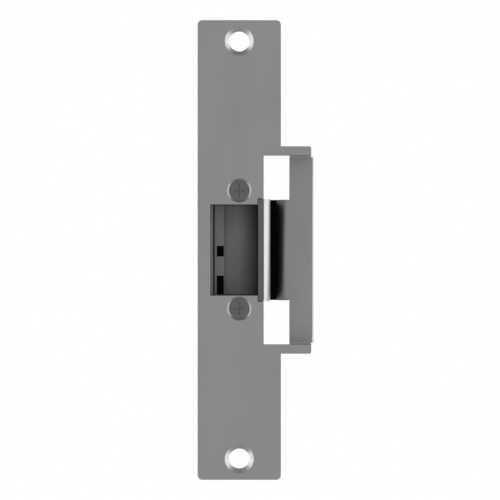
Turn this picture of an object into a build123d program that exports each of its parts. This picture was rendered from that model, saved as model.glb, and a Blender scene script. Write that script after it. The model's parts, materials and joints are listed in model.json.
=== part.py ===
from build123d import *
import math
import os

# Electric door strike with a pivoting keeper, a deep lip and a fail-safe solenoid lock.
# Units are millimetres. +X points to the lip side, +Y into the door frame and +Z up. The origin
# is midway between the two frame-screw holes, on the faceplate's front face.

os.makedirs("parts", exist_ok=True)

# Faceplate
plate_width = 31.75
plate_height = 174.625
plate_thick = 3.0
plate_corner_r = 1.8
plate_edge_r = 0.12
frame_hole_pitch = 158.75
frame_hole_r = 3.8
frame_sink_r = 5.5
sink_angle = 82.0
body_screw_pitch = 44.85
body_screw_rise = 0.2
body_screw_r = 2.0
body_head_r = 4.0
body_sink_r = 4.6
body_screw_length = 12.0
screw_play = 0.05
recess_long = 4.8
recess_wide = 0.8
recess_deep = 1.2
latch_left = -11.05
latch_half = 17.3
keeper_slot_left = 6.9
notch_left = 9.33
notch_half = 35.9
arm_end = 27.4
arm_width = 3.5
arm_end_r = 0.8
cheek_start = 19.25
cheek_thick = 3.0

# Housing
housing_left = -14.5
housing_right = 9.0
housing_back = 35.5
housing_corner_r = 1.5
wall = 2.0
bay_right = 7.2
bay_front = 5.2
bay_corner_r = 1.0
bay_margin = 0.5
web_thick = 4.4
cap_thick = 3.0
base_thick = 6.0
boss_wall = 1.6
boss_floor = 0.6
pocket_depth = 15.2
pocket_draft = 1.0
ledge_depth = 6.0
ledge_width = 0.8
floor_thick = 2.0
strip_left = -9.5
strip_right = -5.85
strip_rise = 4.2
slot_left = -8.75
slot_right = -6.0
upper_slot = (-2.5, 1.6)
lower_slot = (-17.1, -9.9)
blank_margin = 1.2
blank_thick = 1.5
cover_thick = 1.0
cover_screw_r = 1.25
cover_screw_length = 7.0
cover_screw_side = 3.4
cover_screw_drop = 2.6
cover_head_r = 2.3
cover_head_height = 1.6
cover_head_round = 0.7
cover_recess_long = 2.6
cover_recess_wide = 0.6
cover_recess_deep = 0.9
window_margin = 0.8

# Keeper and lip
keeper_bay_half = 19.6
keeper_clearance = 0.22
hinge_x = 2.0
hinge_y = 24.0
hinge_pin_r = 1.75
hinge_pin_land = 1.2
hinge_pin_chamfer = 0.3
pin_end_gap = 0.2
bushing_wall = 0.75
bushing_length = 5.2
hub_r = 3.4
hub_recess_gap = 0.8
hub_bore_gap = 0.3
tooth_left = 7.1
tooth_front = 0.25
tooth_crease = 9.35
tooth_right = 11.8
nose_slope = 40.0
foot_right = 14.2
foot_front = 19.0
foot_back = 24.0
foot_rib = 1.36
heel_left = 0.75
heel_right = 3.0
heel_length = 9.0
heel_height = 7.4
lip_depth = 14.0
lip_sheet = 1.6
lip_end = 28.58
lip_roll_r = 4.0
lip_clearance = 0.1
lip_edge_r = 0.7
rivet_r = 1.5
rivet_spread = 24.0
rivet_shift = 0.4
rivet_depth = 3.0
rivet_head_rim = 0.6
rivet_head_height = 0.8
rivet_head_round = 0.5
keeper_spring_wire = 0.8
keeper_spring_turns = 5
keeper_spring_length = 5.6
keeper_spring_bore_gap = 0.35
spring_leg = 9.0
spring_lift = 0.6
spring_slack = 1.0
lug_width = 2.4
lug_thick = 2.2
lug_start = 3.0
lug_gap = 0.15

# Lock
lever_thick = 2.0
lever_x = -0.5
lever_drop = 4.5
lever_pin_r = 1.5
lever_arm = 9.0
lever_hub_r = 2.8
lever_arm_half = 1.6
fork_slot_gap = 0.25
fork_wall = 0.8
fork_reach = 1.8
fork_depth = 1.4
finger_front = 31.5
finger_back = 34.5
finger_gap = 0.27
finger_sweep = 3.3
guide_gap = 0.25
ear_thick = 2.6
ear_gap = 0.4
ear_root = 0.3
plunger_r = 3.5
plunger_travel = 3.0
plunger_stop_gap = 0.3
plunger_boss_gap = 0.526
plunger_top_land = 1.6
plunger_top_chamfer = 0.3
plunger_foot_chamfer = 1.0
plunger_slot_play = 0.6
plunger_slot_floor = 0.5
plunger_pin_r = 1.0
plunger_pin_sink = 0.3
plunger_wire = 0.4
plunger_spring_turns = 2.5
plunger_spring_gap = 0.35
plunger_spring_end_gap = 0.02
clip_drop = 4.0
clip_thick = 0.7
clip_groove = 0.5
clip_rim = 1.3
clip_mouth = 1.2
solenoid_drop = 6.7
solenoid_length = 24.3
solenoid_sheet = 1.5
solenoid_bend_r = 1.2
solenoid_width = 15.0
solenoid_screw_r = 1.5
solenoid_screw_pitch = 15.0
solenoid_boss_r = 3.6
solenoid_head_sink = 0.2
solenoid_head_rim = 0.25
plunger_bore_gap = 0.2
core_length = 7.5
core_neck = 1.0
core_rivet = 0.4
coil_r = 6.7
coil_gap = 0.4
flange_thick = 1.2
flange_corner_r = 1.2
flange_gap = 0.1
tube_wall = 0.7
coil_inset = 0.6
coil_pin_side = 4.0
coil_pin_r = 0.35
coil_pin_depth = 3.0
coil_pin_proud = 0.8
bobbin_block_gap = 1.6

# Electrics
board_y = 27.4
board_thick = 1.6
board_length = 24.0
board_rise = 0.2
board_gap = 0.65
board_corner_r = 0.8
board_post_r = 1.7
board_hole_inset = 2.2
board_screw_r = 0.9
board_screw_grip = 4.0
board_screw_bore = 5.0
board_head_height = 1.1
board_head_round = 0.4
board_recess_long = 1.8
board_recess_wide = 0.4
board_recess_deep = 0.6
board_ledge_reach = 1.3
board_ledge_height = 8.0
board_ledge_depth = 2.5
part_inset = 4.4
rectifier_drop = 6.6
rectifier_width = 6.4
rectifier_height = 5.0
rectifier_depth = 3.0
rectifier_chamfer = 0.4
varistor_drop = 12.6
varistor_r = 3.3
varistor_depth = 3.4
varistor_round = 0.9
terminal_left = -7.4
terminal_margin = 0.4
terminal_width = 10.2
terminal_height = 7.5
terminal_depth = 6.0
terminal_chamfer = 0.8
terminal_screw_r = 1.5
terminal_screw_sink = 0.6
terminal_well = 4.0
terminal_well_gap = 0.3
terminal_slot_wide = 0.5
terminal_slot_deep = 0.7
wire_port_width = 2.8
wire_port_depth = 2.6
wire_port_rise = 2.3
wire_port_length = 4.0

# Fits
running_gap = 0.04
thread_gap = 0.03
seat_gap = 0.1
pin_hole_gap = 0.05

# Construction: how far a cut runs past a face, and how far joined shapes of one part overlap
overcut = 3.0
root = 0.5

# Sizes that follow from the ones above
latch_right = keeper_slot_left
keeper_half = keeper_bay_half - keeper_clearance
web_outer = keeper_bay_half + web_thick
housing_top = web_outer + cap_thick
lever_z = -web_outer - lever_drop
solenoid_top = lever_z - solenoid_drop
solenoid_bottom = solenoid_top - solenoid_length
bay_bottom = solenoid_bottom - bay_margin
housing_bottom = bay_bottom - base_thick
arm_outer = notch_half + arm_width
pocket_floor = plate_thick + pocket_depth
floor_back = pocket_floor + floor_thick
lip_back = lip_depth + lip_sheet
lip_half = notch_half - lip_clearance
bushing_r = hinge_pin_r + running_gap + bushing_wall
lever_half_swing = math.asin(plunger_travel / (2 * lever_arm))
plunger_y = body_screw_length + boss_floor + plunger_boss_gap + plunger_r
lever_y = plunger_y + lever_arm * math.cos(lever_half_swing)
plunger_pin_z = lever_z + plunger_travel / 2
solenoid_front = plunger_y - coil_r - solenoid_sheet - coil_gap
bay_left = housing_left + wall
spring_room = keeper_spring_length + spring_lift + spring_slack
hub_top = keeper_half - spring_room
coil_mean_r = hinge_pin_r + keeper_spring_bore_gap + keeper_spring_wire / 2
spring_leg_y = hinge_y + coil_mean_r
spring_lug_back = spring_leg_y - keeper_spring_wire / 2 - lug_gap


def at_depth(depth):
    """The plane parallel to the faceplate at this depth: its x is X and its y is Z."""
    return Plane.XZ.offset(-depth)


def save(part, label):
    """Label a finished piece and write its STEP file."""
    part.label = label
    export_step(part, f"parts/{label}.step")


def spread(low, high):
    """The middle and the length of a stretch."""
    return (low + high) / 2, high - low


# ---------------------------------------------------------------- faceplate
frame_holes = [(0, frame_hole_pitch / 2), (0, -frame_hole_pitch / 2)]
body_holes = [(0, body_screw_rise + side * body_screw_pitch / 2) for side in (1, -1)]
arm_mid, arm_span = spread(notch_half, arm_outer)
notch_mid, notch_span = spread(notch_left, arm_end + overcut)
keeper_mid, keeper_span = spread(keeper_slot_left, notch_left + overcut)
latch_mid, latch_span = spread(latch_left, latch_right + overcut)
cheek_mid, cheek_span = spread(cheek_start, arm_end)

with BuildPart() as faceplate:
    with BuildSketch(at_depth(0)):
        Rectangle(plate_width, plate_height)
        fillet(vertices(), plate_corner_r)
        with Locations((arm_end / 2, arm_mid), (arm_end / 2, -arm_mid)):
            Rectangle(arm_end, arm_span)
        with Locations((notch_mid, 0)):
            Rectangle(notch_span, 2 * notch_half, mode=Mode.SUBTRACT)
        with Locations((keeper_mid, 0)):
            Rectangle(keeper_span, 2 * keeper_bay_half, mode=Mode.SUBTRACT)
        with Locations((latch_mid, 0)):
            Rectangle(latch_span, 2 * latch_half, mode=Mode.SUBTRACT)
    extrude(amount=-plate_thick)
    end_edges = faceplate.edges().filter_by(Axis.Y).group_by(Axis.X)[-1]
    fillet(end_edges.filter_by(lambda edge: abs(edge.center().Z) > arm_mid), arm_end_r)
    fillet(faceplate.faces().sort_by(Axis.Y)[0].edges(), plate_edge_r)
    for side in (1, -1):
        with BuildSketch(at_depth(plate_thick - root)):
            with Locations((cheek_mid, side * (notch_half + cheek_thick / 2))):
                Rectangle(cheek_span, cheek_thick)
        extrude(amount=-(lip_back - plate_thick + root))
    with Locations(at_depth(0)):
        with Locations(*frame_holes):
            CounterSinkHole(frame_hole_r, frame_sink_r, plate_thick, sink_angle)
        with Locations(*body_holes):
            CounterSinkHole(body_screw_r + seat_gap, body_sink_r, plate_thick, sink_angle)
save(faceplate.part, "faceplate")

# ---------------------------------------------------------------- housing
housing_mid_x, housing_span_x = spread(housing_left, housing_right)
housing_mid_z, housing_span_z = spread(housing_bottom, housing_top)
web_screw_z = housing_top - cover_screw_drop
base_screw_z = (bay_bottom + housing_bottom) / 2
cover_screw_x = (housing_left + cover_screw_side, housing_right - cover_screw_side)
cover_holes = [(x, z) for x in cover_screw_x for z in (web_screw_z, base_screw_z)]
solenoid_mid_z, solenoid_span_z = spread(solenoid_bottom, solenoid_top)
solenoid_screw_zs = [solenoid_mid_z + side * solenoid_screw_pitch / 2 for side in (1, -1)]
solenoid_holes = [(lever_x, z) for z in solenoid_screw_zs]
board_left = bay_left + board_gap
board_right = bay_right - board_gap
board_top = solenoid_top + board_rise
board_bottom = board_top - board_length
board_hole_zs = (board_top - board_hole_inset, board_bottom + board_hole_inset)
board_holes = [(board_left + board_post_r, z) for z in board_hole_zs]
terminal_low = board_bottom + terminal_margin
wire_slot_left = terminal_left + terminal_margin
wire_slot_right = terminal_left + terminal_width - terminal_margin
finger_slot_left = lever_x - lever_thick / 2 - guide_gap
finger_slot_right = lever_x + lever_thick / 2 + guide_gap

with BuildPart() as housing:
    with BuildSketch(at_depth(plate_thick)):
        with Locations((housing_mid_x, housing_mid_z)):
            Rectangle(housing_span_x, housing_span_z)
        fillet(vertices(), housing_corner_r)
    extrude(amount=-(housing_back - plate_thick))
    # Latch pocket: a drafted mouth with a ledge down its closed side, then the floor.
    with BuildSketch(at_depth(plate_thick)):
        pocket_mid, pocket_span = spread(latch_left, housing_right + overcut)
        with Locations((pocket_mid, 0)):
            Rectangle(pocket_span, 2 * latch_half)
    extrude(amount=-ledge_depth, taper=pocket_draft, mode=Mode.SUBTRACT)
    with BuildSketch(at_depth(plate_thick)):
        inner_mid, inner_span = spread(latch_left + ledge_width, housing_right + overcut)
        with Locations((inner_mid, 0)):
            Rectangle(inner_span, 2 * latch_half)
    extrude(amount=-pocket_depth, taper=pocket_draft, mode=Mode.SUBTRACT)
    # Keeper slot and the keeper bay behind the pocket's floor, both open on the lip side.
    with BuildSketch(at_depth(plate_thick)):
        slot_mid, slot_span = spread(keeper_slot_left, housing_right + overcut)
        with Locations((slot_mid, 0)):
            Rectangle(slot_span, 2 * keeper_bay_half)
    extrude(amount=-(housing_back - plate_thick), mode=Mode.SUBTRACT)
    with BuildSketch(at_depth(floor_back)):
        keeper_bay_mid, keeper_bay_span = spread(bay_left, housing_right + overcut)
        with Locations((keeper_bay_mid, 0)):
            Rectangle(keeper_bay_span, 2 * keeper_bay_half)
    extrude(amount=-(housing_back - floor_back), mode=Mode.SUBTRACT)
    # Raised strip with the two switch slots.
    with BuildSketch(at_depth(pocket_floor - strip_rise)):
        strip_mid, strip_span = spread(strip_left, strip_right)
        with Locations((strip_mid, 0)):
            Rectangle(strip_span, 2 * latch_half)
    extrude(amount=-(strip_rise + floor_thick))
    with BuildSketch(at_depth(pocket_floor - strip_rise - root)):
        slit_mid, slit_span = spread(slot_left, slot_right)
        for low, high in (upper_slot, lower_slot):
            height_mid, height_span = spread(low, high)
            with Locations((slit_mid, height_mid)):
                Rectangle(slit_span, height_span)
    extrude(amount=-(strip_rise + floor_thick + 2 * root), mode=Mode.SUBTRACT)
    # Lower bay for the solenoid, the lever and the board.
    with BuildSketch(at_depth(bay_front)):
        lower_mid_x, lower_span_x = spread(bay_left, bay_right)
        lower_mid_z, lower_span_z = spread(bay_bottom, -web_outer)
        with Locations((lower_mid_x, lower_mid_z)):
            Rectangle(lower_span_x, lower_span_z)
        fillet(vertices(), bay_corner_r)
    extrude(amount=-(housing_back - bay_front), mode=Mode.SUBTRACT)
    # Body-screw bosses.
    with BuildSketch(at_depth(plate_thick)):
        with Locations(body_holes[1]):
            Circle(body_screw_r + boss_wall)
    extrude(amount=-(body_screw_length - plate_thick + boss_floor))
    # Ears for the lever's pin, under the lower web.
    ear_reach = lever_thick / 2 + ear_gap
    for ear_x in (lever_x - ear_reach - ear_thick, lever_x + ear_reach):
        with BuildSketch(Plane.YZ.offset(ear_x)):
            with Locations((lever_y, lever_z)):
                Circle(lever_hub_r)
            ear_mid, ear_span = spread(lever_z, ear_root - web_outer)
            with Locations((lever_y, ear_mid)):
                Rectangle(2 * lever_hub_r, ear_span)
        extrude(amount=ear_thick)
    # Lug for the fixed leg of the keeper's spring, on the upper web.
    with BuildSketch(Plane.XY.offset(hub_top + lug_start)):
        with Locations((hinge_x - spring_leg + lug_width / 2, spring_lug_back - lug_thick / 2)):
            Rectangle(lug_width, lug_thick)
    extrude(amount=keeper_bay_half + root - hub_top - lug_start)
    # Solenoid bosses, board posts and the board's ledge.
    with BuildSketch(at_depth(bay_front - root)):
        with Locations(*solenoid_holes):
            Circle(solenoid_boss_r)
    extrude(amount=-(solenoid_front - bay_front + root))
    with BuildSketch(at_depth(bay_front - root)):
        with Locations(*board_holes):
            Circle(board_post_r)
    extrude(amount=-(board_y - bay_front + root))
    with BuildSketch(at_depth(board_y - board_ledge_depth)):
        ledge_mid, ledge_span = spread(bay_right - board_ledge_reach, bay_right + ear_root)
        with Locations((ledge_mid, solenoid_mid_z)):
            Rectangle(ledge_span, board_ledge_height)
    extrude(amount=-board_ledge_depth)
    # Guide slot for the lever's finger, and the wire slot at the bottom.
    with BuildSketch(at_depth(finger_front - finger_sweep)):
        finger_mid, finger_span = spread(finger_slot_left, finger_slot_right)
        with Locations((finger_mid, -(keeper_bay_half + web_outer) / 2)):
            Rectangle(finger_span, web_thick + 2 * root)
    extrude(amount=-(housing_back - finger_front + finger_sweep), mode=Mode.SUBTRACT)
    with BuildSketch(at_depth(board_y + board_thick)):
        wire_mid, wire_span = spread(wire_slot_left, wire_slot_right)
        with Locations((wire_mid, base_screw_z)):
            Rectangle(wire_span, base_thick + 4 * root)
    extrude(amount=-(housing_back - board_y - board_thick), mode=Mode.SUBTRACT)
    # Bores: body screws, hinge pin, lever pin, solenoid screws, board screws and cover screws.
    with BuildSketch(at_depth(plate_thick - root)):
        with Locations(*body_holes):
            Circle(body_screw_r + thread_gap)
    extrude(amount=-(body_screw_length - plate_thick + 2 * root), mode=Mode.SUBTRACT)
    with BuildSketch(Plane.XY.offset(hinge_pin_land - web_outer)):
        with Locations((hinge_x, hinge_y)):
            Circle(hinge_pin_r + thread_gap)
    extrude(amount=2 * (web_outer - hinge_pin_land), mode=Mode.SUBTRACT)
    with BuildSketch(Plane.YZ.offset(lever_x - lever_thick - ear_thick)):
        with Locations((lever_y, lever_z)):
            Circle(lever_pin_r + thread_gap)
    extrude(amount=2 * (lever_thick + ear_thick), mode=Mode.SUBTRACT)
    with Locations(at_depth(plate_thick)):
        with Locations(*solenoid_holes):
            screw_hole_depth = solenoid_front - plate_thick + root
            CounterSinkHole(solenoid_screw_r + seat_gap, 2 * solenoid_screw_r, screw_hole_depth, 90)
    with BuildSketch(at_depth(board_y)):
        with Locations(*board_holes):
            Circle(board_screw_r + thread_gap)
    extrude(amount=board_screw_bore, mode=Mode.SUBTRACT)
    with BuildSketch(at_depth(housing_back)):
        with Locations(*cover_holes):
            Circle(cover_screw_r + thread_gap)
    extrude(amount=cover_screw_length, mode=Mode.SUBTRACT)
save(housing.part, "housing")

# ---------------------------------------------------------------- blank behind the switch slots
with BuildPart() as slot_blank:
    with BuildSketch(at_depth(floor_back)):
        blank_mid_x, blank_span_x = spread(slot_left - blank_margin, slot_right + blank_margin)
        blank_mid_z, blank_span_z = spread(lower_slot[0] - blank_margin, upper_slot[1] + blank_margin)
        with Locations((blank_mid_x, blank_mid_z)):
            Rectangle(blank_span_x, blank_span_z)
    extrude(amount=-blank_thick)
    chamfer(slot_blank.faces().sort_by(Axis.Y)[-1].edges(), blank_thick / 4)
save(slot_blank.part, "slot_blank")

# ---------------------------------------------------------------- rear cover
cover_back = housing_back + cover_thick
with BuildPart() as rear_cover:
    with BuildSketch(at_depth(housing_back)):
        with Locations((housing_mid_x, housing_mid_z)):
            Rectangle(housing_span_x, housing_span_z)
        fillet(vertices(), housing_corner_r)
        with Locations(*cover_holes):
            Circle(cover_screw_r + seat_gap, mode=Mode.SUBTRACT)
        window_x, window_w = spread(terminal_left, terminal_left + terminal_width)
        window_z, window_h = spread(terminal_low, terminal_low + terminal_height)
        with Locations((window_x, window_z)):
            Rectangle(window_w + 2 * window_margin, window_h + 2 * window_margin, mode=Mode.SUBTRACT)
    extrude(amount=-cover_thick)
save(rear_cover.part, "rear_cover")

# ---------------------------------------------------------------- screws of the frame body
with BuildPart() as body_screws:
    head_depth = (body_head_r - body_screw_r) / math.tan(math.radians(sink_angle / 2))
    sink_drop = (body_sink_r - body_head_r) / math.tan(math.radians(sink_angle / 2))
    for x, z in body_holes:
        with BuildSketch(Plane.YZ):
            with BuildLine():
                Polyline(
                    (sink_drop, z),
                    (sink_drop, z + body_head_r - screw_play),
                    (sink_drop + head_depth, z + body_screw_r - screw_play),
                    (body_screw_length, z + body_screw_r - screw_play),
                    (body_screw_length, z),
                    close=True,
                )
            make_face()
        revolve(axis=Axis((x, 0, z), (0, 1, 0)))
    with BuildSketch(at_depth(sink_drop - root)):
        with Locations(*body_holes):
            Rectangle(recess_long, recess_wide)
            Rectangle(recess_wide, recess_long)
    extrude(amount=-recess_deep - root, mode=Mode.SUBTRACT)
save(body_screws.part, "body_screws")

with BuildPart() as cover_screws:
    with BuildSketch(at_depth(cover_back)):
        with Locations(*cover_holes):
            Circle(cover_screw_r)
    extrude(amount=cover_screw_length)
    with BuildSketch(at_depth(cover_back)):
        with Locations(*cover_holes):
            Circle(cover_head_r)
    extrude(amount=-cover_head_height)
    fillet(cover_screws.faces().group_by(Axis.Y)[-1].edges(), cover_head_round)
    with BuildSketch(at_depth(cover_back + cover_head_height)):
        with Locations(*cover_holes):
            Rectangle(cover_recess_long, cover_recess_wide)
            Rectangle(cover_recess_wide, cover_recess_long)
    extrude(amount=cover_recess_deep, mode=Mode.SUBTRACT)
save(cover_screws.part, "cover_screws")

with BuildPart() as solenoid_screws:
    for x, z in solenoid_holes:
        with BuildSketch(Plane.YZ.offset(x)):
            with BuildLine():
                screw_top = plate_thick + solenoid_head_sink
                head_end = plate_thick + solenoid_screw_r
                screw_end = solenoid_front + solenoid_sheet
                Polyline(
                    (screw_top, z),
                    (screw_top, z + 2 * solenoid_screw_r - solenoid_head_rim),
                    (head_end, z + solenoid_screw_r - screw_play),
                    (screw_end, z + solenoid_screw_r - screw_play),
                    (screw_end, z),
                    close=True,
                )
            make_face()
        revolve(axis=Axis((x, 0, z), (0, 1, 0)))
save(solenoid_screws.part, "solenoid_screws")

# ---------------------------------------------------------------- hinge pin and keeper
with BuildPart() as hinge_pin:
    hinge_pin_half = web_outer - hinge_pin_land - pin_end_gap
    with BuildSketch(Plane.XY.offset(-hinge_pin_half)):
        with Locations((hinge_x, hinge_y)):
            Circle(hinge_pin_r)
    extrude(amount=2 * hinge_pin_half)
    chamfer(hinge_pin.edges().filter_by(GeomType.CIRCLE), hinge_pin_chamfer)
save(hinge_pin.part, "hinge_pin")

slope = math.radians(nose_slope)
nose_r = (tooth_right - tooth_crease) / (1 - math.sin(slope))
nose_end_y = tooth_front + nose_r * math.cos(slope)
nose_mid_angle = (slope + math.pi / 2) / 2
nose_mid = (
    tooth_right - nose_r + nose_r * math.sin(nose_mid_angle),
    nose_end_y - nose_r * math.cos(nose_mid_angle),
)

with BuildPart() as keeper_jaw:
    with BuildSketch(Plane.XY.offset(-keeper_half)):
        with BuildLine():
            Line((tooth_left, tooth_front), (tooth_crease, tooth_front))
            ThreePointArc((tooth_crease, tooth_front), nose_mid, (tooth_right, nose_end_y))
            Polyline(
                (tooth_right, nose_end_y),
                (tooth_right, foot_front),
                (foot_right, foot_front),
                (foot_right, foot_back),
                ((hinge_x + foot_right) / 2, foot_back + foot_rib),
                (hinge_x, hinge_y + hub_r),
                (hinge_x, hinge_y - hub_r),
                (tooth_left, hinge_y - hub_r),
                (tooth_left, tooth_front),
            )
        make_face()
        with Locations((hinge_x, hinge_y)):
            Circle(hub_r)
    extrude(amount=2 * keeper_half)
    heel_mid, heel_span = spread(heel_left, heel_right)
    with BuildSketch(Plane.XY.offset(-keeper_half)):
        with Locations((heel_mid, hinge_y + heel_length / 2)):
            Rectangle(heel_span, heel_length)
    extrude(amount=heel_height)
    with BuildSketch(Plane.XY.offset(hub_top)):
        with Locations((hinge_x, hinge_y)):
            Circle(hub_r + hub_recess_gap)
            with Locations((-hub_r / 2, 0)):
                Rectangle(hub_r + overcut, 2 * (hub_r + hub_recess_gap))
    extrude(amount=spring_room + root, mode=Mode.SUBTRACT)
    with BuildSketch(Plane.XY.offset(-keeper_half - root)):
        with Locations((hinge_x, hinge_y)):
            Circle(hinge_pin_r + hub_bore_gap)
    extrude(amount=2 * (keeper_half + root), mode=Mode.SUBTRACT)
    for seat_low in (-keeper_half, hub_top - bushing_length):
        with BuildSketch(Plane.XY.offset(seat_low)):
            with Locations((hinge_x, hinge_y)):
                Circle(bushing_r)
        extrude(amount=bushing_length, mode=Mode.SUBTRACT)
    rivet_y = (foot_front + foot_back) / 2 + rivet_shift
    with BuildSketch(Plane.YZ.offset(foot_right)):
        with Locations((rivet_y, rivet_spread / 2), (rivet_y, -rivet_spread / 2)):
            Circle(rivet_r)
    extrude(amount=-rivet_depth, mode=Mode.SUBTRACT)
save(keeper_jaw.part, "keeper_jaw")

for label, seat_low in (("lower_bushing", -keeper_half), ("upper_bushing", hub_top - bushing_length)):
    with BuildPart() as bushing:
        with BuildSketch(Plane.XY.offset(seat_low)):
            with Locations((hinge_x, hinge_y)):
                Circle(bushing_r)
                Circle(hinge_pin_r + running_gap, mode=Mode.SUBTRACT)
        extrude(amount=bushing_length)
    save(bushing.part, label)

# ---------------------------------------------------------------- lip plate
roll_x = foot_right + lip_roll_r
roll_y = lip_depth + lip_roll_r
diagonal = math.sqrt(0.5)
inner_r = lip_roll_r - lip_sheet
with BuildPart() as lip_plate:
    with BuildSketch(Plane.XY.offset(-keeper_half)):
        with BuildLine():
            Line((foot_right, foot_back), (foot_right, roll_y))
            ThreePointArc(
                (foot_right, roll_y),
                (roll_x - lip_roll_r * diagonal, roll_y - lip_roll_r * diagonal),
                (roll_x, lip_depth),
            )
            Polyline(
                (roll_x, lip_depth),
                (lip_end, lip_depth),
                (lip_end, lip_back),
                (roll_x, lip_back),
            )
            ThreePointArc(
                (roll_x, lip_back),
                (roll_x - inner_r * diagonal, roll_y - inner_r * diagonal),
                (foot_right + lip_sheet, roll_y),
            )
            Polyline(
                (foot_right + lip_sheet, roll_y),
                (foot_right + lip_sheet, foot_back),
                (foot_right, foot_back),
            )
        make_face()
    extrude(amount=2 * keeper_half)
    with BuildSketch(at_depth(lip_depth)):
        lip_mid, lip_span = spread(cheek_start, lip_end)
        with Locations((lip_mid, 0)):
            Rectangle(lip_span, 2 * lip_half)
    extrude(amount=-lip_sheet)
    outer_edges = lip_plate.edges().filter_by(Axis.Z).group_by(Axis.X)[-1]
    fillet(outer_edges.sort_by(Axis.Y)[0], lip_edge_r)
    with BuildSketch(Plane.YZ.offset(foot_right - root)):
        with Locations((rivet_y, rivet_spread / 2), (rivet_y, -rivet_spread / 2)):
            Circle(rivet_r)
    extrude(amount=lip_sheet + 2 * root, mode=Mode.SUBTRACT)
save(lip_plate.part, "lip_plate")

with BuildPart() as lip_rivets:
    rivet_head = foot_right + lip_sheet
    for side in (1, -1):
        with BuildSketch(Plane.YZ.offset(foot_right - rivet_depth)):
            with Locations((rivet_y, side * rivet_spread / 2)):
                Circle(rivet_r)
        extrude(amount=rivet_depth + lip_sheet)
        with BuildSketch(Plane.YZ.offset(rivet_head)):
            with Locations((rivet_y, side * rivet_spread / 2)):
                Circle(rivet_r + rivet_head_rim)
        extrude(amount=rivet_head_height)
    fillet(lip_rivets.faces().group_by(Axis.X)[-1].edges(), rivet_head_round)
save(lip_rivets.part, "lip_rivets")

# ---------------------------------------------------------------- keeper return spring
coil_pitch = (keeper_spring_length - keeper_spring_wire) / keeper_spring_turns
coil_rise = coil_pitch * keeper_spring_turns
with BuildPart() as keeper_spring:
    with BuildLine():
        coil = Helix(coil_pitch, coil_rise, coil_mean_r)
    with BuildSketch(Plane(origin=coil @ 0, z_dir=coil % 0)):
        Circle(keeper_spring_wire / 2)
    sweep(path=coil, is_frenet=True)
    for end, way in ((0, -1), (1, 1)):
        with BuildSketch(Plane(origin=coil @ end, z_dir=way * (coil % end))):
            Circle(keeper_spring_wire / 2)
        extrude(amount=spring_leg)
spring_z = hub_top + spring_lift + keeper_spring_wire / 2
spring_place = Location((hinge_x, hinge_y, spring_z), (0, 0, 90))
save(spring_place * keeper_spring.part, "keeper_spring")

# ---------------------------------------------------------------- locking lever and its pin
with BuildPart() as lever_pin:
    lever_pin_half = lever_thick / 2 + ear_gap + ear_thick
    with BuildSketch(Plane.YZ.offset(lever_x - lever_pin_half)):
        with Locations((lever_y, lever_z)):
            Circle(lever_pin_r)
    extrude(amount=2 * lever_pin_half)
save(lever_pin.part, "lever_pin")

finger_top = -keeper_half - finger_gap
fork_half = plunger_pin_r + fork_slot_gap
with BuildPart() as locking_lever:
    with BuildSketch(Plane.YZ.offset(lever_x - lever_thick / 2)):
        with Locations((lever_y, lever_z)):
            Circle(lever_hub_r)
        fork_angle = 180 - math.degrees(lever_half_swing)
        with Locations(Location((lever_y, lever_z), fork_angle)):
            with Locations(((lever_arm + fork_reach) / 2, 0)):
                Rectangle(lever_arm + fork_reach, 2 * (fork_half + fork_wall))
        with Locations(((lever_y + finger_back) / 2, lever_z)):
            Rectangle(finger_back - lever_y, 2 * lever_arm_half)
        finger_mid_y, finger_span_y = spread(finger_front, finger_back)
        finger_mid_z, finger_span_z = spread(lever_z - lever_arm_half, finger_top)
        with Locations((finger_mid_y, finger_mid_z)):
            Rectangle(finger_span_y, finger_span_z)
        with Locations((lever_y, lever_z)):
            Circle(lever_pin_r + running_gap, mode=Mode.SUBTRACT)
        with Locations(Location((lever_y, lever_z), fork_angle)):
            fork_mid, fork_span = spread(lever_arm - fork_depth, lever_arm + fork_reach + root)
            with Locations((fork_mid, 0)):
                Rectangle(fork_span, 2 * fork_half, mode=Mode.SUBTRACT)
    extrude(amount=lever_thick)
save(locking_lever.part, "locking_lever")

# ---------------------------------------------------------------- plunger
plunger_top = plunger_pin_z + plunger_top_land
core_top = solenoid_bottom + solenoid_sheet + core_length
plunger_bottom = core_top + plunger_travel + plunger_stop_gap
clip_z = plunger_pin_z - clip_drop
tongue_slot = lever_thick + plunger_slot_play
tongue_floor = clip_z + clip_thick + plunger_slot_floor
plunger_place = (lever_x, plunger_y)
with BuildPart() as plunger:
    with BuildSketch(Plane.XY.offset(plunger_bottom)):
        with Locations(plunger_place):
            Circle(plunger_r)
    extrude(amount=plunger_top - plunger_bottom)
    chamfer(plunger.edges().group_by(Axis.Z)[0], plunger_foot_chamfer)
    chamfer(plunger.edges().group_by(Axis.Z)[-1], plunger_top_chamfer)
    with BuildSketch(Plane.XY.offset(clip_z)):
        with Locations(plunger_place):
            Circle(plunger_r + root)
            Circle(plunger_r - clip_groove, mode=Mode.SUBTRACT)
    extrude(amount=clip_thick, mode=Mode.SUBTRACT)
    with BuildSketch(Plane.XY.offset(tongue_floor)):
        with Locations(plunger_place):
            Rectangle(tongue_slot, 2 * (plunger_r + root))
    extrude(amount=plunger_top - tongue_floor + root, mode=Mode.SUBTRACT)
    with BuildSketch(Plane.YZ.offset(lever_x - plunger_r - root)):
        with Locations((plunger_y, plunger_pin_z)):
            Circle(plunger_pin_r)
    extrude(amount=2 * (plunger_r + root), mode=Mode.SUBTRACT)
save(plunger.part, "plunger")

with BuildPart() as plunger_pin:
    plunger_pin_half = plunger_r - plunger_pin_sink
    with BuildSketch(Plane.YZ.offset(lever_x - plunger_pin_half)):
        with Locations((plunger_y, plunger_pin_z)):
            Circle(plunger_pin_r)
    extrude(amount=2 * plunger_pin_half)
save(plunger_pin.part, "plunger_pin")

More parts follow.
